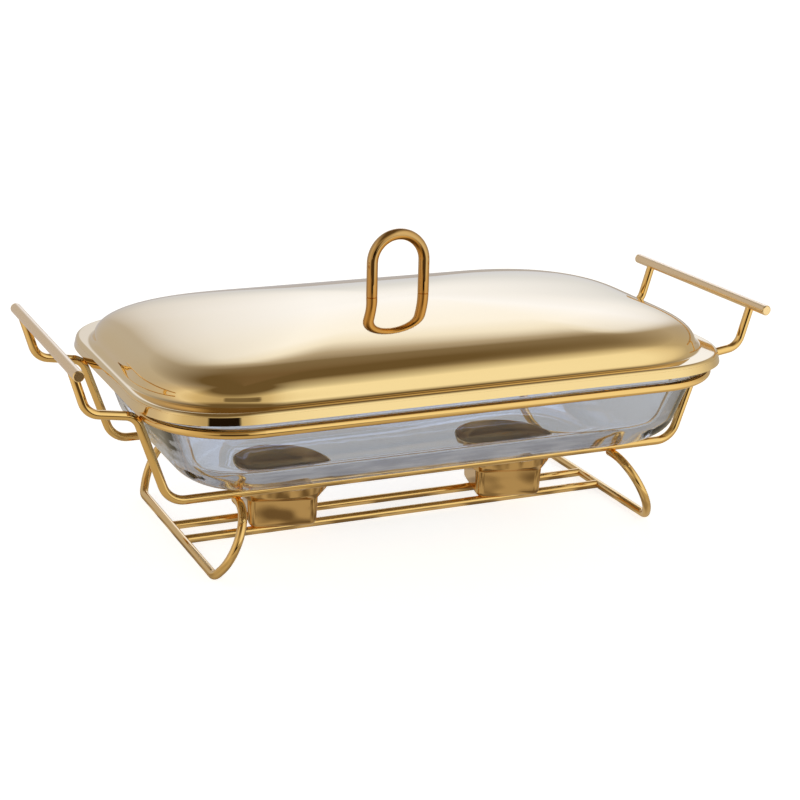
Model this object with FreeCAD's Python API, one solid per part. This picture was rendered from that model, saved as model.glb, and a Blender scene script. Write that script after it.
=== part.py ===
import FreeCAD, Part
import math
import os

# Candle-heated food warmer: a bent-wire stand, a glass pan that lifts out of it,
# and a pressed lid that lifts off the pan. All lengths are in millimetres.
# X runs from one handle to the other, -Y is the front, and Z rises from the table.

# Gap between pieces that part, and depth of the seat where two wires are welded
seat_gap = 0.3
weld_bite = 0.3

# Stand wire: ring, cradle, feet and rails
wire_r = 2.5

# Candle cups, which stand on the rails
candle_d = 37.0
candle_clearance = 0.2
cup_wall = 0.8
cup_seat_height = 16.8
cup_shoulder_height = 3.5
cup_bowl_height = 5.3
cup_corner_r = 4.8
cup_heel_r = 3.5
cup_draft = 0.8
cup_bowl_r = 28.0
cup_rim_r = 29.5
cup_roundness = 0.97
cup_crease_r = 0.8
cup_bowl_edge_r = 2.0
cup_spacing = 144.0
cup_turn_deg = 13.0
flame_space = 16.0

# Glass pan
pan_body_length = 322.0
pan_body_width = 201.0
pan_corner_r = 44.0
pan_wall = 5.0
pan_floor = 5.0
pan_draft = 10.0
pan_heel_reach = 42.0
pan_heel_height = 20.0
pan_corner_shrink = 0.6
pan_depth = 49.4
pan_rim_thickness = 7.7
pan_end_lip = 9.5
pan_side_lip = 4.5
pan_lip_round = 1.2
pan_mouth_round = 2.5

# Rim ring, which carries the pan
ring_end_clearance = 3.5
ring_side_clearance = 1.3

# Cradle wires: a low run under the pan, and at each end a leg, a shelf and a riser
cradle_spacing = 112.0
leg_lean_deg = 18.6
leg_bend_r = 13.0
shelf_bend_r = 9.0
shelf_over_ring = 0.9
shelf_slope_deg = 8.5
riser_set_in = 7.3
riser_bend_r = 10.0

# Handle bars
bar_r = 3.0
bar_length = 145.0
bar_reach = 37.5
bar_rise = 29.1
bar_chamfer = 0.5

# Foot wires: a bar on the table, with a bow at each end that hooks under a cradle wire
foot_set_in = 21.2
foot_set_out = 12.0
foot_lean_deg = 25.8
foot_flare_deg = 50.0
foot_straight = 3.0
foot_corner_r = 8.0
foot_tail = 4.0

# Base rails between the foot bars
rail_spacing = 23.0

# Lid
lid_wall = 0.8
lid_end_gap = 3.5
lid_side_gap = 1.7
lid_skirt_depth = 6.7
lid_skirt_draft = 1.4
lid_edge_round = 2.4
dome_end_set_in = 7.3
dome_side_set_in = 9.0
dome_corner_r = 60.0
dome_cove_r = 1.5
dome_shoulder_rise = 11.7
dome_shoulder_reach = 23.0
dome_squareness = 3.0
dome_crown_rise = 14.6

# Lid handle: a bow of thicker wire on the crown, held by a screw up each leg
bow_r = 3.25
bow_span = 32.2
bow_height = 39.1
bow_foot_chamfer = 0.5
bow_land = 7.0
screw_r = 2.0
screw_clearance = 0.1
screw_grip = 9.0
screw_head_r = 3.8
screw_head_height = 2.6
screw_slot_width = 1.0
screw_slot_depth = 1.1
washer_r = 5.0
washer_thickness = 0.8

# Heights and half sizes that follow from the values above
cup_base_z = 2 * wire_r - weld_bite
cup_throat_z = cup_base_z + cup_seat_height
cup_bowl_z = cup_throat_z + cup_shoulder_height
cup_rim_z = cup_bowl_z + cup_bowl_height
cup_half = candle_d / 2 + candle_clearance + cup_wall
pan_underside_z = cup_rim_z + flame_space
pan_half_x = pan_body_length / 2
pan_half_y = pan_body_width / 2
rim_under_z = pan_underside_z + pan_depth
pan_top_z = rim_under_z + pan_rim_thickness
rim_half_x = pan_half_x + pan_end_lip
rim_half_y = pan_half_y + pan_side_lip
rim_corner_r = pan_corner_r + (pan_end_lip + pan_side_lip) / 2
ring_half_x = pan_half_x + ring_end_clearance + wire_r
ring_half_y = pan_half_y + ring_side_clearance + wire_r
ring_corner_r = pan_corner_r + (ring_end_clearance + ring_side_clearance) / 2 + wire_r
ring_z = rim_under_z - seat_gap - wire_r
cradle_y = cradle_spacing / 2
cradle_run_z = pan_underside_z - seat_gap - wire_r
bar_x = ring_half_x + bar_reach
bar_z = ring_z + bar_rise
foot_top_z = cradle_run_z - 2 * wire_r + weld_bite
rail_y = rail_spacing / 2
cup_x = cup_spacing / 2
lid_shelf_z = pan_top_z + seat_gap + lid_wall
lid_lip_z = lid_shelf_z - lid_skirt_depth
lid_half_x = rim_half_x + lid_end_gap + lid_wall
lid_half_y = rim_half_y + lid_side_gap + lid_wall
lid_corner_r = rim_corner_r + lid_wall
dome_half_x = lid_half_x - dome_end_set_in
dome_half_y = lid_half_y - dome_side_set_in
bow_x = bow_span / 2
crown_share = (bow_x + bow_r + bow_land) / dome_half_x
crown_z = lid_shelf_z + dome_shoulder_rise + dome_crown_rise * (1 - crown_share ** 2)
bore_r = screw_r + screw_clearance


def point(x, y, z):
    """A point or direction in the part's frame."""
    return FreeCAD.Vector(x, y, z)


def rounded_outline(half_x, half_y, corner_r, z):
    """Closed rounded-rectangle wire at height z, centred on the Z axis."""
    in_x = half_x - corner_r
    in_y = half_y - corner_r
    diagonal = corner_r * math.sqrt(0.5)
    edges = []
    for sign_x, sign_y in ((1, 1), (-1, 1), (-1, -1), (1, -1)):
        centre = point(sign_x * in_x, sign_y * in_y, z)
        on_x = centre + point(sign_x * corner_r, 0, 0)
        on_y = centre + point(0, sign_y * corner_r, 0)
        middle = centre + point(sign_x * diagonal, sign_y * diagonal, 0)
        first, last = (on_x, on_y) if sign_x == sign_y else (on_y, on_x)
        if edges:
            edges.append(Part.LineSegment(edges[-1].lastVertex().Point, first).toShape())
        edges.append(Part.Arc(first, middle, last).toShape())
    edges.append(Part.LineSegment(edges[-1].lastVertex().Point, edges[0].firstVertex().Point).toShape())
    return Part.Wire(edges)


def rounded_block(half_x, half_y, corner_r, z, height):
    """Upright block on a rounded-rectangle outline."""
    return Part.Face(rounded_outline(half_x, half_y, corner_r, z)).extrude(point(0, 0, height))


def bent_path(corners, radii):
    """Open wire through the corners, with a tangent arc of the given radius at each inner one."""
    edges = []
    start = corners[0]
    for corner, following, radius in zip(corners[1:-1], corners[2:], radii):
        back = (start - corner).normalize()
        ahead = (following - corner).normalize()
        half_angle = back.getAngle(ahead) / 2
        tangent = radius / math.tan(half_angle)
        to_centre = (back + ahead).normalize()
        middle = corner + to_centre * (radius / math.sin(half_angle) - radius)
        arc_start = corner + back * tangent
        arc_end = corner + ahead * tangent
        edges.append(Part.LineSegment(start, arc_start).toShape())
        edges.append(Part.Arc(arc_start, middle, arc_end).toShape())
        start = arc_end
    edges.append(Part.LineSegment(start, corners[-1]).toShape())
    return Part.Wire(edges)


def wire_along(path, radius):
    """Solid round wire of the given radius along a path."""
    first_edge = path.OrderedEdges[0]
    start = first_edge.valueAt(first_edge.FirstParameter)
    direction = first_edge.tangentAt(first_edge.FirstParameter)
    section = Part.Wire([Part.Circle(start, direction, radius).toShape()])
    return path.makePipeShell([section], True, False)


def smooth_loft(sections):
    """Solid through the outlines with gently curved sides, kept from swinging out between them."""
    return Part.makeLoft(sections, True, False, False, 2)


def trimmed_by(shape, neighbour):
    """The largest solid left of the shape once the neighbour is cut from it."""
    return max(shape.cut(neighbour).Solids, key=lambda solid: solid.Volume)


def mirrored_x(shape):
    """The shape's twin at the other end of the stand."""
    return shape.mirror(point(0, 0, 0), point(1, 0, 0))


def mirrored_y(shape):
    """The shape's twin on the rear side of the stand."""
    return shape.mirror(point(0, 0, 0), point(0, 1, 0))


def edges_at_height(shape, z, half_y):
    """Edges that lie level at height z and reach no further than half_y from the middle."""
    chosen = []
    for edge in shape.Edges:
        box = edge.BoundBox
        level = abs(box.ZMin - z) < 1e-3 and abs(box.ZMax - z) < 1e-3
        if level and max(abs(box.YMin), abs(box.YMax)) < half_y + 1e-3:
            chosen.append(edge)
    return chosen


def make_handle_bar():
    """Right-hand handle bar: a plain rod along Y with its end edges broken."""
    rod = Part.makeCylinder(bar_r, bar_length, point(bar_x, -bar_length / 2, bar_z), point(0, 1, 0))
    ends = [edge for edge in rod.Edges if isinstance(edge.Curve, Part.Circle)]
    return rod.makeChamfer(bar_chamfer, ends)


def half_cradle_corners():
    """Corners of a cradle wire's right half, from its low run up into the bar, as (x, z)."""
    lean = math.radians(leg_lean_deg)
    slope = math.radians(shelf_slope_deg)
    bend_z = ring_z + shelf_over_ring - shelf_bend_r
    ring_distance = shelf_bend_r + 2 * wire_r - weld_bite
    bend_x = ring_half_x + math.sqrt(ring_distance ** 2 - (ring_z - bend_z) ** 2)
    spread = shelf_bend_r / (1 + math.sin(lean + slope))
    head_x = bend_x - spread * (math.cos(lean) + math.sin(slope))
    head_z = bend_z + spread * (math.sin(lean) + math.cos(slope))
    foot_x = head_x - (head_z - cradle_run_z) * math.tan(lean)
    riser_x = bar_x - riser_set_in
    riser_z = head_z + (riser_x - head_x) * math.tan(slope)
    return [(foot_x, cradle_run_z), (head_x, head_z), (riser_x, riser_z), (bar_x, bar_z)]


def make_cradle_wire(bars):
    """Front cradle wire, with its two ends shaped to the bars that they are welded to."""
    half = half_cradle_corners()
    right = [point(x, -cradle_y, z) for x, z in half]
    left = [point(-x, -cradle_y, z) for x, z in reversed(half)]
    bends = [leg_bend_r, shelf_bend_r, riser_bend_r]
    wire = wire_along(bent_path(left + right, list(reversed(bends)) + bends), wire_r)
    for bar in bars:
        wire = trimmed_by(wire, bar)
    return wire


def make_rim_ring(cradles):
    """Closed ring in the crook of the cradle wires, seated where it is welded to them."""
    ring = wire_along(rounded_outline(ring_half_x, ring_half_y, ring_corner_r, ring_z), wire_r)
    for cradle in cradles:
        ring = trimmed_by(ring, cradle)
    return ring


def foot_bar_x():
    """Distance of a foot's table bar from the middle of the stand."""
    return half_cradle_corners()[0][0] - foot_set_in


def make_foot_wire(cradles):
    """Right foot: a bar on the table whose bowed ends lean in and hook under the cradle."""
    lean = math.radians(foot_lean_deg)
    flare = math.radians(foot_flare_deg)
    rise = (foot_top_z - wire_r) / math.cos(lean)
    half_bar = cradle_y + foot_set_out
    corner_tangent = foot_corner_r * math.tan(flare / 2)
    bow_tangent = rise / math.sin(flare) - foot_straight - corner_tangent
    foot_bow_r = bow_tangent * math.tan(flare / 2)
    profile = [(cradle_y - foot_tail, rise), (half_bar + rise / math.tan(flare), rise), (half_bar, 0)]
    front = [point(foot_bar_x() - s * math.sin(lean), -y, wire_r + s * math.cos(lean)) for y, s in profile]
    rear = [point(corner.x, -corner.y, corner.z) for corner in reversed(front)]
    bends = [foot_bow_r, foot_corner_r]
    foot = wire_along(bent_path(front + rear, bends + list(reversed(bends))), wire_r)
    for cradle in cradles:
        foot = trimmed_by(foot, cradle)
    return foot


def make_base_rail(feet):
    """Front rail, with its ends shaped to the foot bars that it is welded between."""
    reach = foot_bar_x() - wire_r / 2
    rail = Part.makeCylinder(wire_r, 2 * reach, point(-reach, -rail_y, wire_r), point(1, 0, 0))
    for foot in feet:
        rail = trimmed_by(rail, foot)
    return rail


def cup_outline(corner, corner_r):
    """Rounded square through a corner of the cup's profile."""
    half, z = corner
    return rounded_outline(half, half, corner_r, z)


def cup_profile(wall):
    """Corners of a cup's profile from floor to rim, moved in by the wall, as (half width, height)."""
    corners = [(cup_half, cup_base_z), (cup_half + cup_draft, cup_throat_z), (cup_bowl_r, cup_bowl_z),
               (cup_rim_r, cup_rim_z)]
    slopes = [math.atan2(top[1] - low[1], top[0] - low[0]) for low, top in zip(corners, corners[1:])]
    moved = []
    for (half, z), before, after in zip(corners, [0] + slopes, slopes):
        share = wall / (1 + math.cos(after - before))
        inward = share * (math.sin(before) + math.sin(after))
        upward = share * (math.cos(before) + math.cos(after))
        moved.append((half - inward, z + upward))
    moved.append((cup_rim_r - wall / math.sin(slopes[-1]), cup_rim_z))
    return moved


def cup_form(wall):
    """Form of a cup, its outside with no wall and its inside with one: square below, round above."""
    base, throat, bowl, rim = cup_profile(wall)
    outlines = [cup_outline(base, cup_corner_r - wall), cup_outline(throat, cup_corner_r - wall),
                cup_outline(bowl, cup_roundness * bowl[0]), cup_outline(rim, cup_roundness * rim[0])]
    parts = [Part.makeLoft([low, top], True, True) for low, top in zip(outlines, outlines[1:])]
    seat = parts[0].makeFillet(cup_heel_r - wall, edges_at_height(parts[0], base[1], base[0]))
    form = seat.fuse(parts[1:])
    form = form.makeFillet(cup_crease_r + wall, edges_at_height(form, throat[1], throat[0]))
    return form.makeFillet(cup_bowl_edge_r - wall, edges_at_height(form, bowl[1], bowl[0]))


def make_candle_cup(x, rails):
    """Candle cup, pressed from sheet and a little turned, seated where the rails are welded to it."""
    cup = cup_form(0).cut(cup_form(cup_wall))
    cup.rotate(point(0, 0, 0), point(0, 0, 1), -cup_turn_deg)
    cup.translate(point(x, 0, 0))
    for rail in rails:
        cup = trimmed_by(cup, rail)
    return cup


def pan_outline(inset, z, wall):
    """Outline of the pan's body at height z, drawn in by the inset and by the wall."""
    corner_r = pan_corner_r - pan_corner_shrink * inset - wall
    return rounded_outline(pan_half_x - inset - wall, pan_half_y - inset - wall, corner_r, z)


def pan_bowl(wall, floor):
    """Solid bowl below the rim: a drafted wall above an elliptical heel and a flat floor."""
    bottom_z = pan_underside_z + floor
    middle_z = (bottom_z + pan_heel_height + rim_under_z) / 2
    sections = [pan_outline(0, rim_under_z, wall), pan_outline(pan_draft / 2, middle_z, wall)]
    steps = 5
    for step in range(steps + 1):
        turn = math.radians(90 * step / steps)
        inset = pan_draft + pan_heel_reach * (1 - math.cos(turn))
        sections.append(pan_outline(inset, bottom_z + pan_heel_height * (1 - math.sin(turn)), wall))
    return smooth_loft(sections)


def make_glass_pan():
    """Glass pan with a thick rim that has a wider lip at each end."""
    mouth_half_x = pan_half_x - pan_wall
    mouth_half_y = pan_half_y - pan_wall
    mouth_corner_r = pan_corner_r - pan_wall
    rim = rounded_block(rim_half_x, rim_half_y, rim_corner_r, rim_under_z, pan_rim_thickness)
    rim = rim.makeFillet(pan_lip_round, edges_at_height(rim, rim_under_z, rim_half_y))
    rim = rim.makeFillet(pan_mouth_round, edges_at_height(rim, pan_top_z, rim_half_y))
    mouth = rounded_block(mouth_half_x, mouth_half_y, mouth_corner_r, rim_under_z, pan_rim_thickness)
    rim = rim.cut(mouth)
    rim = rim.makeFillet(pan_mouth_round, edges_at_height(rim, pan_top_z, mouth_half_y))
    bowl = pan_bowl(0, 0).cut(pan_bowl(pan_wall, pan_floor))
    return rim.fuse(bowl)


def dome_outline(share, z, wall):
    """Contour of the dome: an even set-in near its foot, in proportion near the crown."""
    even = share ** 3 * (1 - share)
    half_x = dome_half_x * share + (dome_half_x - dome_half_y) * even
    corner_r = dome_corner_r * (share + even)
    return rounded_outline(half_x - wall, dome_half_y * share - wall, corner_r - wall, z - wall)


def dome_steps():
    """Steps of the dome from foot to crown, each as (share of the foot's half width, height)."""
    power = 2 / dome_squareness
    reach = dome_shoulder_reach / dome_half_y
    steps = []
    shoulder_steps = 6
    for step in range(shoulder_steps + 1):
        turn = math.radians(90 * step / shoulder_steps)
        share = 1 - reach * (1 - math.cos(turn) ** power)
        steps.append((share, dome_shoulder_rise * math.sin(turn) ** power))
    crown_steps = 4
    for step in range(1, crown_steps + 1):
        share = 1 - reach - (1 - reach - crown_share) * step / crown_steps
        steps.append((share, dome_shoulder_rise))
    return [(share, lid_shelf_z + rise + dome_crown_rise * (1 - share ** 2)) for share, rise in steps]


def lid_outline(inset, z):
    """Outline of the lid's skirt at height z, drawn in by the inset."""
    return rounded_outline(lid_half_x - inset, lid_half_y - inset, lid_corner_r - inset, z)


def lid_form(wall):
    """Form of the lid, its outside with no wall and its inside with one."""
    top_z = lid_shelf_z - wall
    lip = lid_outline(wall, lid_lip_z)
    top = lid_outline(wall + lid_skirt_draft, top_z)
    skirt = Part.makeLoft([lip, top], True, True)
    skirt = skirt.makeFillet(lid_edge_round - wall, edges_at_height(skirt, top_z, lid_half_y))
    dome = smooth_loft([dome_outline(share, z, wall) for share, z in dome_steps()])
    form = skirt.fuse(dome)
    return form.makeFillet(dome_cove_r + wall, edges_at_height(form, top_z, dome_half_y))


def make_lid_shell():
    """Pressed lid: skirt, shelf, cove and dome, with a screw hole under each leg of the bow."""
    lid = lid_form(0).cut(lid_form(lid_wall))
    for side in (-1, 1):
        hole = Part.makeCylinder(bore_r, 3 * lid_wall, point(side * bow_x, 0, crown_z - 2 * lid_wall))
        lid = lid.cut(hole)
    return lid


def make_lid_handle():
    """Bow of thick wire on the crown, bored up each leg for its screw."""
    leg_top_z = crown_z + bow_height - bow_r - bow_x
    left_foot = point(-bow_x, 0, crown_z)
    right_foot = point(bow_x, 0, crown_z)
    left_top = point(-bow_x, 0, leg_top_z)
    right_top = point(bow_x, 0, leg_top_z)
    left_leg = Part.LineSegment(left_foot, left_top).toShape()
    arch = Part.Arc(left_top, point(0, 0, leg_top_z + bow_x), right_top).toShape()
    right_leg = Part.LineSegment(right_top, right_foot).toShape()
    bow = wire_along(Part.Wire([left_leg, arch, right_leg]), bow_r)
    feet = [edge for edge in bow.Edges if abs(edge.BoundBox.ZMax - crown_z) < 1e-3]
    bow = bow.makeChamfer(bow_foot_chamfer, feet)
    for foot in (left_foot, right_foot):
        bow = bow.cut(Part.makeCylinder(bore_r, screw_grip + screw_r, foot))
    return bow


def pair_at_bow(shape):
    """The shape under each leg of the bow, as one group of two solids."""
    left = shape.copy()
    left.translate(point(-bow_x, 0, 0))
    right = shape.copy()
    right.translate(point(bow_x, 0, 0))
    return Part.makeCompound([left, right])


def make_lid_screws():
    """Two slotted screws, one up through the crown into each leg of the bow."""
    seat_z = crown_z - lid_wall - washer_thickness
    shank = Part.makeCylinder(screw_r, screw_grip + crown_z - seat_z, point(0, 0, seat_z))
    head = Part.makeCylinder(screw_head_r, screw_head_height, point(0, 0, seat_z - screw_head_height))
    rim = edges_at_height(head, seat_z - screw_head_height, screw_head_r)
    head = head.makeFillet(screw_head_height / 2, rim)
    slot_corner = point(-screw_head_r, -screw_slot_width / 2, seat_z - screw_head_height)
    slot = Part.makeBox(2 * screw_head_r, screw_slot_width, screw_slot_depth, slot_corner)
    return pair_at_bow(head.fuse(shank).cut(slot))


def make_lid_washers():
    """Two washers between the screw heads and the underside of the crown."""
    base = point(0, 0, crown_z - lid_wall - washer_thickness)
    disc = Part.makeCylinder(washer_r, washer_thickness, base)
    return pair_at_bow(disc.cut(Part.makeCylinder(bore_r, washer_thickness, base)))


def main():
    """Make every piece, neighbours first, and write one file for each."""
    right_bar = make_handle_bar()
    left_bar = mirrored_x(right_bar)
    front_cradle = make_cradle_wire([left_bar, right_bar])
    rear_cradle = mirrored_y(front_cradle)
    cradles = [front_cradle, rear_cradle]
    right_foot = make_foot_wire(cradles)
    left_foot = mirrored_x(right_foot)
    front_rail = make_base_rail([left_foot, right_foot])
    rear_rail = mirrored_y(front_rail)
    rails = [front_rail, rear_rail]
    pieces = {
        "left_handle_bar": left_bar,
        "right_handle_bar": right_bar,
        "front_cradle_wire": front_cradle,
        "rear_cradle_wire": rear_cradle,
        "rim_ring": make_rim_ring(cradles),
        "left_foot_wire": left_foot,
        "right_foot_wire": right_foot,
        "front_base_rail": front_rail,
        "rear_base_rail": rear_rail,
        "left_candle_cup": make_candle_cup(-cup_x, rails),
        "right_candle_cup": make_candle_cup(cup_x, rails),
        "glass_pan": make_glass_pan(),
        "lid_shell": make_lid_shell(),
        "lid_handle": make_lid_handle(),
        "lid_handle_screws": make_lid_screws(),
        "lid_handle_washers": make_lid_washers(),
    }
    os.makedirs("parts", exist_ok=True)
    for name, shape in pieces.items():
        shape.exportStep("parts/" + name + ".step")


main()
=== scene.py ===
"""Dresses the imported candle-heated food warmer: polished gold wire, mirror lid, clear glass pan."""

import math

import bmesh
import bpy
from mathutils import Matrix, Vector


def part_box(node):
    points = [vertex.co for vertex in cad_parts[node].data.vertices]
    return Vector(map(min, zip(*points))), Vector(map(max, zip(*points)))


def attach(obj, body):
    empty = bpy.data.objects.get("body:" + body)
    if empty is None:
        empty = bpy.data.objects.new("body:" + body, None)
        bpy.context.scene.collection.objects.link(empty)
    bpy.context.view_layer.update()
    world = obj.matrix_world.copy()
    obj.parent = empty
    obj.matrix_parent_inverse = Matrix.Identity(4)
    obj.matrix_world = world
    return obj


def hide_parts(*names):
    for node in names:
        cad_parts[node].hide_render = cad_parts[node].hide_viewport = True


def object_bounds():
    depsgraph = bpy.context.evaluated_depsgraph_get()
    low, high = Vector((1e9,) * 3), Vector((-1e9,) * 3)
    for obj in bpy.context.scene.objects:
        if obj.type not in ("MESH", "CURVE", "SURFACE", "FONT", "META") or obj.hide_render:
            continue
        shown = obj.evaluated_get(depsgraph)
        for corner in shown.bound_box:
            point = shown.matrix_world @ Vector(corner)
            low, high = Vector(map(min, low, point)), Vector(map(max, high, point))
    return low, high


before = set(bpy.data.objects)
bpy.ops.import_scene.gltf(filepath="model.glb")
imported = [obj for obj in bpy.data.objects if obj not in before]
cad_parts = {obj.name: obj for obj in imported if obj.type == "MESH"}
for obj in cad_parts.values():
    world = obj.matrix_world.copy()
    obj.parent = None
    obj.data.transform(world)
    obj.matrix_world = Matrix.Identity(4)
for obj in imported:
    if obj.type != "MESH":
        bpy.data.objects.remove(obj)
cad_low, cad_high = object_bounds()
mm = 0.001


# Camera, at the photograph's viewing angle
camera_azimuth = math.radians(-24.12)
camera_elevation = math.radians(17.27)
camera_roll = math.radians(1.35)
camera_distance = 1060.0 * mm
camera_aside = Vector((3.0, 7.0)) * mm
camera_target = Vector((0, 0, 60 * mm))
camera_lens = 81.35
camera_sensor = 36
camera_near = 0.05


def make_camera():
    """Camera that looks down at the warmer from its front left."""
    level = Vector((math.sin(camera_azimuth), -math.cos(camera_azimuth), 0))
    back = level * math.cos(camera_elevation) + Vector((0, 0, math.sin(camera_elevation)))
    right = Vector((math.cos(camera_azimuth), math.sin(camera_azimuth), 0))
    up = back.cross(right)
    rolled_right = right * math.cos(camera_roll) + up * math.sin(camera_roll)
    rolled_up = up * math.cos(camera_roll) - right * math.sin(camera_roll)
    place = camera_target + back * camera_distance
    place += rolled_right * camera_aside.x + rolled_up * camera_aside.y
    data = bpy.data.cameras.new("photo_camera")
    data.lens = camera_lens
    data.sensor_width = camera_sensor
    data.clip_start = camera_near
    camera = bpy.data.objects.new("photo_camera", data)
    turn = Matrix((rolled_right, rolled_up, back)).transposed().to_4x4()
    camera.matrix_world = Matrix.Translation(place) @ turn
    bpy.context.scene.collection.objects.link(camera)
    bpy.context.scene.camera = camera


# Node helpers; a Mix node's share, colors and result go by number, because their names repeat
color_mix_inputs = (0, 6, 7)
color_mix_result = 2


def new_material(name):
    """Empty node material with its output, as (material, nodes, links, output)."""
    material = bpy.data.materials.new(name)
    material.use_nodes = True
    nodes = material.node_tree.nodes
    nodes.clear()
    output = nodes.new("ShaderNodeOutputMaterial")
    return material, nodes, material.node_tree.links, output


def new_group(name, inputs, outputs):
    """Shader group with named sockets, as (tree, its input node, its output node)."""
    tree = bpy.data.node_groups.new(name, "ShaderNodeTree")
    for label, kind, value in inputs:
        socket = tree.interface.new_socket(label, in_out="INPUT", socket_type=kind)
        socket.default_value = value
    for label, kind in outputs:
        tree.interface.new_socket(label, in_out="OUTPUT", socket_type=kind)
    return tree, tree.nodes.new("NodeGroupInput"), tree.nodes.new("NodeGroupOutput")


def math_node(tree, operation, first, second=None):
    """Math node fed by sockets or plain numbers; its result socket is returned."""
    node = tree.nodes.new("ShaderNodeMath")
    node.operation = operation
    for slot, value in zip(node.inputs, (first, second)):
        if isinstance(value, bpy.types.NodeSocket):
            tree.links.new(value, slot)
        elif value is not None:
            slot.default_value = value
    return node.outputs[0]


def noise_node(tree, vector, scale, detail):
    """Noise over the given vector, with the scale as a socket or a number; its value is returned."""
    node = tree.nodes.new("ShaderNodeTexNoise")
    node.inputs["Detail"].default_value = detail
    tree.links.new(vector, node.inputs["Vector"])
    if isinstance(scale, bpy.types.NodeSocket):
        tree.links.new(scale, node.inputs["Scale"])
    else:
        node.inputs["Scale"].default_value = scale
    return node.outputs["Fac"]


def color_ramp(tree, value, stops):
    """Color ramp over a value; its color socket is returned."""
    node = tree.nodes.new("ShaderNodeValToRGB")
    elements = node.color_ramp.elements
    while len(elements) < len(stops):
        elements.new(0.5)
    for element, (place, color) in zip(elements, stops):
        element.position = place
        element.color = (*color, 1)
    tree.links.new(value, node.inputs["Fac"])
    return node.outputs["Color"]


def mix_colors(tree, share, first, second):
    """Mixes two colors, each a socket or a plain color; its result socket is returned."""
    node = tree.nodes.new("ShaderNodeMix")
    node.data_type = "RGBA"
    for slot, value in zip(color_mix_inputs, (share, first, second)):
        if isinstance(value, bpy.types.NodeSocket):
            tree.links.new(value, node.inputs[slot])
        elif slot == color_mix_inputs[0]:
            node.inputs[slot].default_value = value
        else:
            node.inputs[slot].default_value = (*value, 1)
    return node.outputs[color_mix_result]


def dot_with(tree, vector, direction):
    """How far a vector reaches along a direction."""
    node = tree.nodes.new("ShaderNodeVectorMath")
    node.operation = "DOT_PRODUCT"
    node.inputs[1].default_value = direction
    tree.links.new(vector, node.inputs[0])
    return node.outputs["Value"]


# Finishes
cloud_detail = 3
hairline_detail = 2
mark_height = 0.05 * mm
cup_outside = (0.82, 0.52, 0.19)
# Painted shade inside the cups: a darker brown for the inner faces
cup_painted_shade = (0.45, 0.28, 0.13)
cup_dulling = 0.25
cup_inner_slope = -0.2 * mm
cup_x = 72 * mm
glass_tint = (0.84, 0.86, 0.88)
glass_ior = 1.47
glass_roughness = 0.006
glass_clouding = 0.012
glass_cloud_scale = 30
glass_ripple_scale = 45
glass_ripple = 0.3


def make_polish_group():
    """Polish of metal and glass: soft cloudy wiping marks and fine hairlines, as roughness and height."""
    tree, given, result = new_group(
        "polish marks",
        [("Roughness", "NodeSocketFloat", 0.05), ("Clouding", "NodeSocketFloat", 0.02),
         ("Cloud Scale", "NodeSocketFloat", 18.0), ("Hairline Scale", "NodeSocketFloat", 600.0)],
        [("Roughness", "NodeSocketFloat"), ("Height", "NodeSocketFloat")])
    coordinates = tree.nodes.new("ShaderNodeTexCoord").outputs["Object"]
    cloud = noise_node(tree, coordinates, given.outputs["Cloud Scale"], cloud_detail)
    centred = math_node(tree, "SUBTRACT", cloud, 0.5)
    swing = math_node(tree, "MULTIPLY", centred, given.outputs["Clouding"])
    tree.links.new(math_node(tree, "ADD", given.outputs["Roughness"], swing), result.inputs["Roughness"])
    hair = noise_node(tree, coordinates, given.outputs["Hairline Scale"], hairline_detail)
    tree.links.new(hair, result.inputs["Height"])
    return tree


polish_group = make_polish_group()


def make_plated(name, color, roughness, clouding, cloud_scale, hairline_scale, hairline_depth):
    """Plated or polished metal with its own polish marks."""
    material, nodes, links, output = new_material(name)
    metal = nodes.new("ShaderNodeBsdfPrincipled")
    metal.inputs["Metallic"].default_value = 1.0
    metal.inputs["Base Color"].default_value = (*color, 1)
    polish = nodes.new("ShaderNodeGroup")
    polish.node_tree = polish_group
    polish.inputs["Roughness"].default_value = roughness
    polish.inputs["Clouding"].default_value = clouding
    polish.inputs["Cloud Scale"].default_value = cloud_scale
    polish.inputs["Hairline Scale"].default_value = hairline_scale
    bump = nodes.new("ShaderNodeBump")
    bump.inputs["Strength"].default_value = hairline_depth
    bump.inputs["Distance"].default_value = mark_height
    links.new(polish.outputs["Roughness"], metal.inputs["Roughness"])
    links.new(polish.outputs["Height"], bump.inputs["Height"])
    links.new(bump.outputs["Normal"], metal.inputs["Normal"])
    links.new(metal.outputs["BSDF"], output.inputs["Surface"])
    return material


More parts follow.
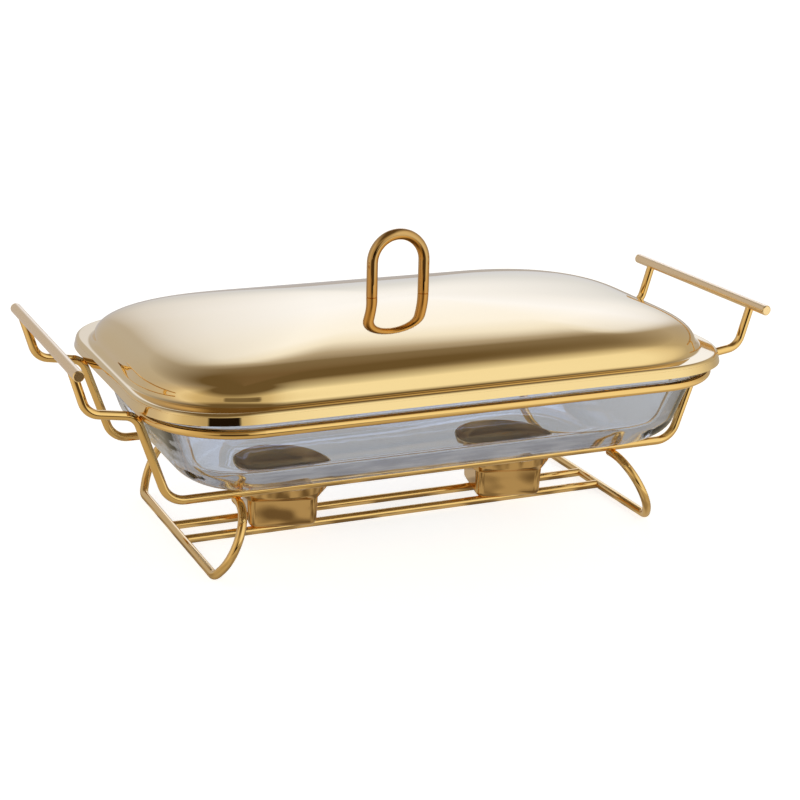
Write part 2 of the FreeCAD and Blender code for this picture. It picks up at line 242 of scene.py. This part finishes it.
def make_cup_gold():
    """Gold plating of the cups, with painted shade inside the cup as a darker brown, and a rougher finish
    there.
    """
    material = make_plated("cup gold", cup_outside, roughness=0.09, clouding=0.05,
                           cloud_scale=60, hairline_scale=900, hairline_depth=0.1)
    tree = material.node_tree
    metal = next(node for node in tree.nodes if node.bl_idname == "ShaderNodeBsdfPrincipled")
    geometry = tree.nodes.new("ShaderNodeNewGeometry")
    place = tree.nodes.new("ShaderNodeSeparateXYZ")
    facing = tree.nodes.new("ShaderNodeSeparateXYZ")
    tree.links.new(tree.nodes.new("ShaderNodeTexCoord").outputs["Object"], place.inputs[0])
    tree.links.new(geometry.outputs["Normal"], facing.inputs[0])
    side = math_node(tree, "SIGN", place.outputs["X"])
    across = math_node(tree, "SUBTRACT", math_node(tree, "ABSOLUTE", place.outputs["X"]), cup_x)
    outward_x = math_node(tree, "MULTIPLY", math_node(tree, "MULTIPLY", facing.outputs["X"], side), across)
    outward_y = math_node(tree, "MULTIPLY", facing.outputs["Y"], place.outputs["Y"])
    outward = math_node(tree, "ADD", outward_x, outward_y)
    # Inner faces of the cup, which get the painted shade and the rougher finish
    inside = math_node(tree, "LESS_THAN", outward, cup_inner_slope)
    tree.links.new(mix_colors(tree, inside, cup_outside, cup_painted_shade), metal.inputs["Base Color"])
    polished = metal.inputs["Roughness"].links[0].from_socket
    dulled = math_node(tree, "ADD", polished, math_node(tree, "MULTIPLY", inside, cup_dulling))
    tree.links.new(dulled, metal.inputs["Roughness"])
    return material


def make_pan_glass():
    """Clear moulded glass."""
    material, nodes, links, output = new_material("pan glass")
    glass = nodes.new("ShaderNodeBsdfPrincipled")
    glass.inputs["Base Color"].default_value = (*glass_tint, 1)
    glass.inputs["IOR"].default_value = glass_ior
    glass.inputs["Transmission Weight"].default_value = 1.0
    polish = nodes.new("ShaderNodeGroup")
    polish.node_tree = polish_group
    polish.inputs["Roughness"].default_value = glass_roughness
    polish.inputs["Clouding"].default_value = glass_clouding
    polish.inputs["Cloud Scale"].default_value = glass_cloud_scale
    polish.inputs["Hairline Scale"].default_value = glass_ripple_scale
    ripple = nodes.new("ShaderNodeBump")
    ripple.inputs["Strength"].default_value = glass_ripple
    ripple.inputs["Distance"].default_value = mark_height
    links.new(polish.outputs["Roughness"], glass.inputs["Roughness"])
    links.new(polish.outputs["Height"], ripple.inputs["Height"])
    links.new(ripple.outputs["Normal"], glass.inputs["Normal"])
    links.new(glass.outputs["BSDF"], output.inputs["Surface"])
    return material


# Lid: the same size and place as the solid, with corners that ease into the sides
lid_wall = 0.8 * mm
lid_corner_r = 51.8 * mm
lid_skirt_depth = 6.7 * mm
lid_skirt_draft = 1.4 * mm
lid_lip_lift = 0.8 * mm
lid_edge_round = 2.4 * mm
dome_end_set_in = 7.3 * mm
dome_side_set_in = 9.0 * mm
dome_corner_r = 60.0 * mm
dome_cove_r = 3.5 * mm
dome_shoulder_rise = 11.7 * mm
dome_shoulder_reach = 23.0 * mm
dome_squareness = 3.0
dome_crown_rise = 14.6 * mm
skirt_steps = 3
skirt_step_share = 0.35
edge_steps = 6
cove_steps = 6
shoulder_steps = 32
shoulder_first_step = 3
shoulder_gathering = 1.5
crown_steps = 24
corner_softness = 2.4
corner_steps = 24
side_steps = 8
sharp_angle = math.radians(50)


def flowing_outline(half_x, half_y, corner_r, z):
    """Points of a rounded rectangle at height z, its corners eased into its sides."""
    share = 0.5 ** (1 / corner_softness)
    reach = corner_r * (1 - math.sqrt(0.5)) / (1 - share)
    power = 2 / corner_softness
    quarter = []
    for step in range(corner_steps + 1):
        turn = math.radians(90 * step / corner_steps)
        x = half_x - reach + reach * max(math.cos(turn), 0) ** power
        quarter.append((x, half_y - reach + reach * math.sin(turn) ** power))
    for step in range(1, side_steps):
        quarter.append(((half_x - reach) * (1 - step / side_steps), half_y))
    right_side = [(half_x, (half_y - reach) * step / side_steps) for step in range(side_steps)]
    half = right_side + quarter + [(0, half_y)]
    mirrored = [(-x, y) for x, y in reversed(half[1:-1])]
    upper = half + mirrored
    return [(x, y, z) for x, y in upper] + [(-x, -y, z) for x, y in upper]


def lid_rings(half_x, half_y, shelf_z, wall):
    """Outlines of the lid from its lip to its crown, the inside ones drawn in by the wall."""
    top_z = shelf_z - wall
    lip_z = shelf_z - lid_skirt_depth + lid_lip_lift
    lean = math.atan2(lid_skirt_draft, top_z - lip_z)
    edge_r = lid_edge_round - wall
    cove_r = dome_cove_r + wall
    edge_in = wall + lid_skirt_draft + edge_r * math.tan((math.pi / 2 - lean) / 2)
    reach = dome_shoulder_reach / (half_y - dome_side_set_in)
    power = 2 / dome_squareness
    rings = []

    def skirt(inset, z):
        """Adds an outline of the skirt or of the edge above it."""
        rings.append(flowing_outline(half_x - inset, half_y - inset, lid_corner_r - inset, z))

    def dome(share, shoulder, out):
        """Adds an outline of the dome, moved out by the cove or the crown's wall."""
        rise = shoulder + dome_crown_rise * (1 - share ** 2)
        even = share ** 3 * (1 - share)
        dome_x = half_x - dome_end_set_in
        dome_y = half_y - dome_side_set_in
        rings.append(flowing_outline(dome_x * share + (dome_x - dome_y) * even - wall + out,
                                     dome_y * share - wall + out,
                                     dome_corner_r * (share + even) - wall + out, top_z + rise))

    for step in range(skirt_steps):
        skirt(wall + lid_skirt_draft * skirt_step_share * step,
              lip_z + (top_z - lip_z) * skirt_step_share * step)
    for step in range(edge_steps + 1):
        turn = lean + (math.pi / 2 - lean) * step / edge_steps
        skirt(edge_in - edge_r * math.sin(math.pi / 2 - turn), top_z - edge_r * (1 - math.sin(turn)))
    for step in range(cove_steps + 1):
        turn = math.radians(90 * step / cove_steps)
        shoulder = cove_r * (1 - math.cos(turn))
        climb = math.asin((shoulder / dome_shoulder_rise) ** (1 / power))
        dome(1 - reach * (1 - math.cos(climb) ** power), shoulder, cove_r * (1 - math.sin(turn)))
    for step in range(shoulder_first_step, shoulder_steps + 1):
        turn = math.radians(90) * (step / shoulder_steps) ** shoulder_gathering
        shoulder = dome_shoulder_rise * math.sin(turn) ** power
        if shoulder > cove_r:
            dome(1 - reach * (1 - max(math.cos(turn), 0) ** power), shoulder, 0)
    for step in range(1, crown_steps):
        share = (1 - reach) * (1 - step / crown_steps)
        dome(share, dome_shoulder_rise, wall * (1 - share))
    return rings


def make_sheet(node, body, rings, material):
    """Smooth closed piece through the rings, with both ends capped, that stands for a node."""
    mesh = bmesh.new()
    rows = [[mesh.verts.new(place) for place in ring] for ring in rings]
    for first, second in zip(rows, rows[1:]):
        for index in range(len(first)):
            following = (index + 1) % len(first)
            mesh.faces.new((first[index], first[following], second[following], second[index]))
    for row in (rows[0], rows[-1]):
        mesh.faces.new(row)
    bmesh.ops.recalc_face_normals(mesh, faces=mesh.faces)
    data = bpy.data.meshes.new(node + "_visual")
    mesh.to_mesh(data)
    mesh.free()
    data.shade_smooth()
    data.set_sharp_from_angle(angle=sharp_angle)
    data.materials.append(material)
    piece = bpy.data.objects.new(node + "_visual", data)
    bpy.context.scene.collection.objects.link(piece)
    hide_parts(node)
    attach(piece, body)


def make_lid_shell(material):
    """Pressed lid in one flowing sheet, from its crown over the lip and back inside."""
    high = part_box("lid_shell")[1]
    shelf_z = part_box("lid_shell")[0].z + lid_skirt_depth
    outside = lid_rings(high.x, high.y, shelf_z, 0)
    inside = lid_rings(high.x, high.y, shelf_z, lid_wall)
    make_sheet("lid_shell", "lid", outside[::-1] + inside, material)


# Glass pan: the same size and place as the solid
pan_corner_r = 44.0 * mm
pan_wall = 5.0 * mm
pan_floor = 5.0 * mm
pan_draft = 10.0 * mm
pan_heel_reach = 42.0 * mm
pan_heel_height = 20.0 * mm
pan_heel_start = math.radians(9.2)
pan_corner_shrink = 0.6
pan_rim_thickness = 7.7 * mm
pan_end_lip = 9.5 * mm
pan_side_lip = 4.5 * mm
pan_lip_round = 1.2 * mm
pan_mouth_round = 2.5 * mm
heel_steps = 16
wall_steps = 6
rim_steps = 5


def bowl_rings(half_x, half_y, bottom_z, top_z, wall):
    """Outlines of the bowl from its flat floor, round the heel and up the drafted wall."""
    profile = []
    for step in range(heel_steps + 1):
        turn = pan_heel_start + (math.pi / 2 - pan_heel_start) * (1 - step / heel_steps)
        profile.append((pan_draft + pan_heel_reach * (1 - math.cos(turn)),
                        bottom_z + pan_heel_height * (1 - math.sin(turn))))
    start_inset, start_z = profile[-1]
    for step in range(1, wall_steps + 1):
        profile.append((start_inset * (1 - step / wall_steps),
                        start_z + (top_z - start_z) * step / wall_steps))
    return [flowing_outline(half_x - inset - wall, half_y - inset - wall,
                            pan_corner_r - pan_corner_shrink * inset - wall, z) for inset, z in profile]


def make_glass_pan(material):
    """Moulded pan: heeled bowl under a thick rim with a wider lip at each end."""
    low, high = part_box("glass_pan")
    half_x = high.x - pan_end_lip
    half_y = high.y - pan_side_lip
    rim_corner_r = pan_corner_r + (pan_end_lip + pan_side_lip) / 2
    under_z = high.z - pan_rim_thickness
    rings = bowl_rings(half_x, half_y, low.z, under_z, 0)
    for radius, start_z, way in ((pan_lip_round, under_z, 1), (pan_mouth_round, high.z, -1)):
        arc = []
        for step in range(rim_steps + 1):
            turn = math.radians(90 * step / rim_steps)
            inset = radius * (1 - math.sin(turn))
            arc.append(flowing_outline(high.x - inset, high.y - inset, rim_corner_r - inset,
                                       start_z + way * radius * (1 - math.cos(turn))))
        rings += arc[::way]
    for step in range(rim_steps + 1):
        turn = math.radians(90 * step / rim_steps)
        inset = pan_wall - pan_mouth_round * (1 - math.sin(turn))
        rings.append(flowing_outline(half_x - inset, half_y - inset, pan_corner_r - inset,
                                     high.z - pan_mouth_round * (1 - math.cos(turn))))
    inside = bowl_rings(half_x, half_y, low.z + pan_floor, under_z, pan_wall)
    make_sheet("glass_pan", "pan", rings + inside[::-1], material)


def dress(node, material):
    """Gives a carried-over node its material."""
    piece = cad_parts[node]
    piece.data.materials.clear()
    piece.data.materials.append(material)


# Studio by direction: a window behind the warmer, walls all round, a low dark gap at the camera, a ceiling
behind_way = (-math.sin(camera_azimuth), math.cos(camera_azimuth), 0)
right_way = (math.cos(camera_azimuth), math.sin(camera_azimuth), 0)

# Stops round the warmer, as (degrees, color): 0 is straight behind it and plus is to the right
wall_stops = ((-180, (0.52, 0.45, 0.31)), (-165, (0.52, 0.44, 0.30)),
              (-138, (0.68, 0.59, 0.42)), (-118, (0.84, 0.78, 0.66)), (-98, (0.64, 0.58, 0.52)),
              (-70, (0.53, 0.51, 0.53)), (-25, (0.53, 0.53, 0.58)), (22, (0.46, 0.42, 0.38)),
              (60, (0.53, 0.48, 0.39)), (85, (0.82, 0.77, 0.64)), (112, (0.98, 0.97, 0.86)),
              (134, (1.0, 1.0, 0.9)), (150, (0.72, 0.65, 0.49)), (158, (0.62, 0.55, 0.40)),
              (180, (0.52, 0.45, 0.31)))
gap_sides = ((-180, (1, 1, 1)), (-171, (1, 1, 1)), (-169, (0, 0, 0)), (156, (0, 0, 0)), (158, (1, 1, 1)))
dim_sides = ((-180, (1, 1, 1)), (-162, (1, 1, 1)), (-148, (0, 0, 0)), (128, (0, 0, 0)), (146, (1, 1, 1)))
window_edge = ((-20, (0, 0, 0)), (-15, (0.3, 0.3, 0.3)), (-10, (0.7, 0.7, 0.7)), (-4, (1, 1, 1)),
               (10, (1, 1, 1)), (15, (0.7, 0.7, 0.7)), (20, (0, 0, 0)))

# Stops by height over the horizon, as (degrees, color)
gap_heights = ((21, (1, 1, 1)), (26, (0, 0, 0)))
gap_stops = ((9, (0.012, 0.007, 0.004)), (12, (0.2, 0.16, 0.1)))
window_stops = ((-90, (0.5, 0.52, 0.6)), (-20, (0.6, 0.61, 0.64)), (-4, (0.64, 0.68, 0.79)),
                (5, (0.78, 0.86, 1.03)), (11, (0.98, 1.1, 1.42)), (17, (1.07, 1.24, 1.75)),
                (31, (1.07, 1.23, 1.74)), (35, (0.98, 1.08, 1.38)), (38.5, (0.5, 0.48, 0.5)),
                (43, (0.23, 0.19, 0.14)), (60, (0.18, 0.13, 0.08)))

# Plain colors of the studio and of its floor in reflections, and the edge of the ceiling
dim_floor = (0.09, 0.06, 0.03)
# Painted shadow of the warmer on the floor in reflections, as dark and light patches
shadow_dark = (0.17, 0.14, 0.11)
shadow_light = (0.50, 0.46, 0.40)
floor_middle = (0.54, 0.47, 0.34)
through_glass = (0.62, 0.625, 0.65)
heel_slate = (0.32, 0.325, 0.36)
heel_share = 0.75
ceiling = (0.15, 0.11, 0.06)
ceiling_low = math.radians(36)
ceiling_lift = math.radians(27)
ceiling_fade = math.radians(30)

# Floor: pale to the camera; in reflections a painted shadow of the warmer in patches, plain around it, the
# walls beyond and a dim front
floor_radius = 4.0
floor_segments = 64
patch_scale = 38
patch_detail = 1
patch_edge = (0.42, 0.58)
paper_white = 0.8
paper_lift = 0.8

# Distances from the middle in metres, shortened along X, over which one stretch turns into the next
floor_squeeze = (0.8, 1, 1)
shadow_patches_end = (0.1, 0.17)
middle_end = (0.2, 0.3)
dim_start = (0.26, 0.36)


def rising(edge):
    """Stops from black to white over an edge that is given as (start, end)."""
    start, end = edge
    return (start, (0, 0, 0)), (end, (1, 1, 1))


def degree_ramp(tree, angle, stops, reach):
    """Color ramp over an angle in radians, with its stops in degrees from -reach to reach."""
    turned = math_node(tree, "DIVIDE", angle, math.radians(2 * reach))
    share = math_node(tree, "ADD", turned, 0.5)
    return color_ramp(tree, share, [(degrees / (2 * reach) + 0.5, color) for degrees, color in stops])


def seen_through(tree, path):
    """1 for a ray that left glass and met no mirror before it, and 0 for any other."""
    plain = math_node(tree, "LESS_THAN", path.outputs["Glossy Depth"], 0.5)
    return math_node(tree, "MULTIPLY", path.outputs["Is Transmission Ray"], plain)


def bounced_inside(tree, path):
    """1 for a ray that left glass after a mirror or an inner bounce, and 0 for any other."""
    bounced = math_node(tree, "GREATER_THAN", path.outputs["Glossy Depth"], 0.5)
    return math_node(tree, "MULTIPLY", path.outputs["Is Transmission Ray"], bounced)


def make_world():
    """Studio light as a function of direction; it reads as white where the camera sees it."""
    world = bpy.data.worlds.new("studio")
    bpy.context.scene.world = world
    world.use_nodes = True
    tree = world.node_tree
    tree.nodes.clear()
    output = tree.nodes.new("ShaderNodeOutputWorld")
    background = tree.nodes.new("ShaderNodeBackground")
    tree.links.new(background.outputs[0], output.inputs[0])
    direction = tree.nodes.new("ShaderNodeTexCoord").outputs["Generated"]
    behind = dot_with(tree, direction, behind_way)
    aside = dot_with(tree, direction, right_way)
    azimuth = math_node(tree, "ARCTAN2", aside, behind)
    elevation = math_node(tree, "ARCSINE", dot_with(tree, direction, (0, 0, 1)))
    walls = degree_ramp(tree, azimuth, wall_stops, 180)
    sideways = math_node(tree, "POWER", math_node(tree, "SINE", azimuth), 2)
    lifted = math_node(tree, "MULTIPLY", sideways, ceiling_lift)
    ceiling_start = math_node(tree, "ADD", lifted, ceiling_low)
    over_start = math_node(tree, "SUBTRACT", elevation, ceiling_start)
    above = math_node(tree, "DIVIDE", over_start, ceiling_fade)
    covered = color_ramp(tree, math_node(tree, "ADD", above, 0.5), rising((0, 1)))
    open_way = mix_colors(tree, degree_ramp(tree, azimuth, gap_sides, 180), (0, 0, 0),
                          degree_ramp(tree, elevation, gap_heights, 90))
    gap = degree_ramp(tree, elevation, gap_stops, 90)
    room = mix_colors(tree, covered, mix_colors(tree, open_way, walls, gap), ceiling)
    window = degree_ramp(tree, elevation, window_stops, 90)
    lit = mix_colors(tree, degree_ramp(tree, azimuth, window_edge, 180), room, window)
    path = tree.nodes.new("ShaderNodeLightPath")
    dulled = mix_colors(tree, seen_through(tree, path), lit, through_glass)
    tree.links.new(mix_colors(tree, path.outputs["Is Camera Ray"], dulled, (1, 1, 1)),
                   background.inputs["Color"])


def make_floor():
    """Pale floor that keeps the soft shadow and reads as white around it."""
    data = bpy.data.meshes.new("floor")
    mesh = bmesh.new()
    bmesh.ops.create_circle(mesh, cap_ends=True, radius=floor_radius, segments=floor_segments)
    mesh.to_mesh(data)
    mesh.free()
    floor = bpy.data.objects.new("floor", data)
    floor.location.z = cad_low.z
    bpy.context.scene.collection.objects.link(floor)
    material, nodes, links, output = new_material("pale floor")
    tree = material.node_tree
    place = nodes.new("ShaderNodeTexCoord").outputs["Object"]
    behind = dot_with(tree, place, behind_way)
    aside = dot_with(tree, place, right_way)
    azimuth = math_node(tree, "ARCTAN2", aside, behind)
    walls = degree_ramp(tree, azimuth, wall_stops, 180)
    length = nodes.new("ShaderNodeVectorMath")
    length.operation = "LENGTH"
    squeezed = nodes.new("ShaderNodeVectorMath")
    squeezed.operation = "MULTIPLY"
    squeezed.inputs[1].default_value = floor_squeeze
    links.new(place, squeezed.inputs[0])
    links.new(squeezed.outputs[0], length.inputs[0])
    far = color_ramp(tree, length.outputs["Value"], rising(shadow_patches_end))
    # Painted shadow under the warmer, broken into noise patches, seen only in reflections
    shadow_patches = color_ramp(tree, noise_node(tree, place, patch_scale, patch_detail),
                         ((patch_edge[0], shadow_dark), (patch_edge[1], shadow_light)))
    path = nodes.new("ShaderNodeLightPath")
    further = color_ramp(tree, length.outputs["Value"], rising(middle_end))
    dim_far = color_ramp(tree, length.outputs["Value"], rising(dim_start))
    dim = mix_colors(tree, dim_far, (0, 0, 0), degree_ramp(tree, azimuth, dim_sides, 180))
    around = mix_colors(tree, further, floor_middle, mix_colors(tree, dim, walls, dim_floor))
    reflected = mix_colors(tree, far, shadow_patches, around)
    heel = math_node(tree, "MULTIPLY", bounced_inside(tree, path), heel_share)
    reflected = mix_colors(tree, heel, reflected, heel_slate)
    reflected = mix_colors(tree, seen_through(tree, path), reflected, through_glass)
    matt = nodes.new("ShaderNodeBsdfDiffuse")
    matt.inputs["Color"].default_value = (paper_white, paper_white, paper_white, 1)
    lift = nodes.new("ShaderNodeEmission")
    lift.inputs["Strength"].default_value = paper_lift
    paper = nodes.new("ShaderNodeAddShader")
    links.new(matt.outputs[0], paper.inputs[0])
    links.new(lift.outputs[0], paper.inputs[1])
    glow = nodes.new("ShaderNodeEmission")
    links.new(reflected, glow.inputs["Color"])
    either = nodes.new("ShaderNodeMixShader")
    links.new(path.outputs["Is Camera Ray"], either.inputs["Fac"])
    links.new(glow.outputs[0], either.inputs[1])
    links.new(paper.outputs[0], either.inputs[2])
    links.new(either.outputs[0], output.inputs["Surface"])
    data.materials.append(material)


# The scene, with enough bounces for mirrors that show each other
mirror_bounces = 12
bpy.context.scene.view_settings.view_transform = "Standard"
bpy.context.scene.cycles.glossy_bounces = mirror_bounces
make_camera()
make_world()
make_floor()

wire_gold = make_plated("wire gold", (0.91, 0.61, 0.24), roughness=0.035, clouding=0.03,
                        cloud_scale=60, hairline_scale=900, hairline_depth=0.02)
handle_gold = make_plated("handle satin gold", (0.99, 0.74, 0.42), roughness=0.24, clouding=0.06,
                          cloud_scale=90, hairline_scale=1600, hairline_depth=0.2)
cup_gold = make_cup_gold()
lid_gold = make_plated("lid gold", (0.92, 0.70, 0.36), roughness=0.04, clouding=0.02,
                       cloud_scale=12, hairline_scale=700, hairline_depth=0.02)
bow_gold = make_plated("bow gold", (0.64, 0.40, 0.16), roughness=0.05, clouding=0.03,
                       cloud_scale=70, hairline_scale=900, hairline_depth=0.03)
screw_steel = make_plated("screw steel", (0.75, 0.74, 0.71), roughness=0.2, clouding=0.05,
                          cloud_scale=90, hairline_scale=1200, hairline_depth=0.1)
pan_glass = make_pan_glass()

for name in ("front_cradle_wire", "rear_cradle_wire", "rim_ring", "left_foot_wire", "right_foot_wire",
             "front_base_rail", "rear_base_rail"):
    dress(name, wire_gold)
for name in ("left_handle_bar", "right_handle_bar"):
    dress(name, handle_gold)
for name in ("left_candle_cup", "right_candle_cup"):
    dress(name, cup_gold)
for name in ("lid_handle_screws", "lid_handle_washers"):
    dress(name, screw_steel)
make_lid_shell(lid_gold)
dress("lid_handle", bow_gold)
make_glass_pan(pan_glass)
